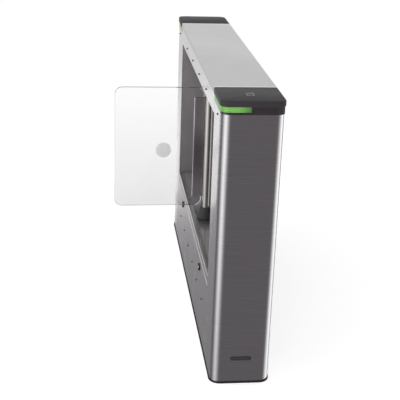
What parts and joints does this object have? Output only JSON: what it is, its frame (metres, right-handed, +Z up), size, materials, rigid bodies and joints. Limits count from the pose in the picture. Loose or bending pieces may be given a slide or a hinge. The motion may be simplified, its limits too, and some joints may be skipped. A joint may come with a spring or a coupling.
{
  "type": "swing barrier turnstile",
  "caption": "Swing barrier turnstile: a slim steel pedestal with light strips, a key-locked service door and a glass wing that swings both ways to close a walking lane.",
  "frame": {"origin": "on the floor, under the middle of the cabinet, at the centre of the base plate's underside", "axes": "+Z up, +Y from the front end to the rear end of the cabinet, -X towards the lane that the wing closes"},
  "size_m": [0.517, 1.5, 1],
  "materials": {
    "brushed_steel": "brushed stainless sheet",
    "lid_steel": "fine brushed stainless sheet",
    "polished_steel": "bright polished steel",
    "zinc_steel": "zinc plated steel",
    "recess_sheet": "dark grey coated sheet",
    "cap_plastic": "fine textured dark grey plastic",
    "smoked_plastic": "glossy smoked plastic",
    "green_light": "translucent green light diffuser",
    "boot_rubber": "matt black rubber",
    "clamp_steel": "dark brushed steel",
    "glass": "clear toughened glass",
    "dark_housing": "black moulded housing",
    "cast_aluminium": "cast aluminium"
  },
  "bodies": {
    "cabinet": {"badge_plate": "polished_steel", "base_plate": "dark_housing", "brake_coil": "dark_housing", "card_reader": "dark_housing", "door_hinge_rod": "zinc_steel", "drive_bridge": "zinc_steel", "drive_motor": "dark_housing", "encoder_head": "dark_housing", "front_cap_base": "cap_plastic", "front_cap_cover": "cap_plastic", "front_column_shell": "brushed_steel", "front_light_strip": "green_light", "front_smoked_band": "smoked_plastic", "front_stop_buffer": "boot_rubber", "front_upright": "zinc_steel", "lane_controller": "dark_housing", "lower_bearing": "polished_steel", "lower_bearing_housing": "cast_aluminium", "outer_side_panel": "brushed_steel", "planetary_gearbox": "cast_aluminium", "power_supply": "cast_aluminium", "rear_cap_base": "cap_plastic", "rear_cap_cover": "cap_plastic", "rear_column_shell": "brushed_steel", "rear_light_strip": "green_light", "rear_smoked_band": "smoked_plastic", "rear_stop_buffer": "boot_rubber", "rear_upright": "zinc_steel", "recess_back_panel": "recess_sheet", "recess_ceiling": "recess_sheet", "recess_floor": "recess_sheet", "recess_front_wall": "recess_sheet", "recess_rear_wall": "recess_sheet", "shaft_boot": "boot_rubber", "sill_rail": "brushed_steel", "top_lid": "lid_steel", "upper_bearing": "polished_steel", "upper_bearing_housing": "cast_aluminium", "upper_rail": "brushed_steel", "upper_sensor_strip": "dark_housing"},
    "wing": {"drive_shaft": "zinc_steel", "drive_gear": "zinc_steel", "encoder_disc": "polished_steel", "stop_arm": "zinc_steel", "wing_tube": "polished_steel", "upper_pivot": "zinc_steel", "glass_wing": "glass", "front_clamp_plate": "clamp_steel", "rear_clamp_plate": "clamp_steel", "clamp_gasket": "boot_rubber", "lower_clamp_screw": "polished_steel", "middle_clamp_screw": "polished_steel", "upper_clamp_screw": "polished_steel"},
    "motor_pinion": {"pinion": "polished_steel"},
    "service_door": {"access_door": "brushed_steel", "door_sensor_strip": "dark_housing", "front_lock_body": "polished_steel", "rear_lock_body": "polished_steel"},
    "front_door_lock": {"front_lock_plug": "polished_steel"},
    "rear_door_lock": {"rear_lock_plug": "polished_steel"}
  },
  "joints": [
    {"name": "wing_swing", "type": "hinge", "parent": "cabinet", "child": "wing", "pos_m": [-0.045, -0.0215, 0.6], "axis": [0, 0, 1], "range_deg": [-90, 90]},
    {"name": "pinion_turn", "type": "hinge", "parent": "cabinet", "child": "motor_pinion", "pos_m": [-0.015, 0.03046, 0.2368], "axis": [0, 0, 1], "range_deg": [-270, 270]},
    {"name": "service_door_tilt", "type": "hinge", "parent": "cabinet", "child": "service_door", "pos_m": [-0.098, -0.006, 0.0107], "axis": [0, -1, 0], "range_deg": [0, 35]},
    {"name": "front_door_lock_turn", "type": "hinge", "parent": "service_door", "child": "front_door_lock", "pos_m": [-0.1025, -0.335, 0.253], "axis": [1, 0, 0], "range_deg": [0, 90]},
    {"name": "rear_door_lock_turn", "type": "hinge", "parent": "service_door", "child": "rear_door_lock", "pos_m": [-0.1025, 0.323, 0.253], "axis": [-1, 0, 0], "range_deg": [0, 90]}
  ],
  "couplings": [
    {"joint": "pinion_turn", "follows": "wing_swing", "ratio": -3}
  ]
}
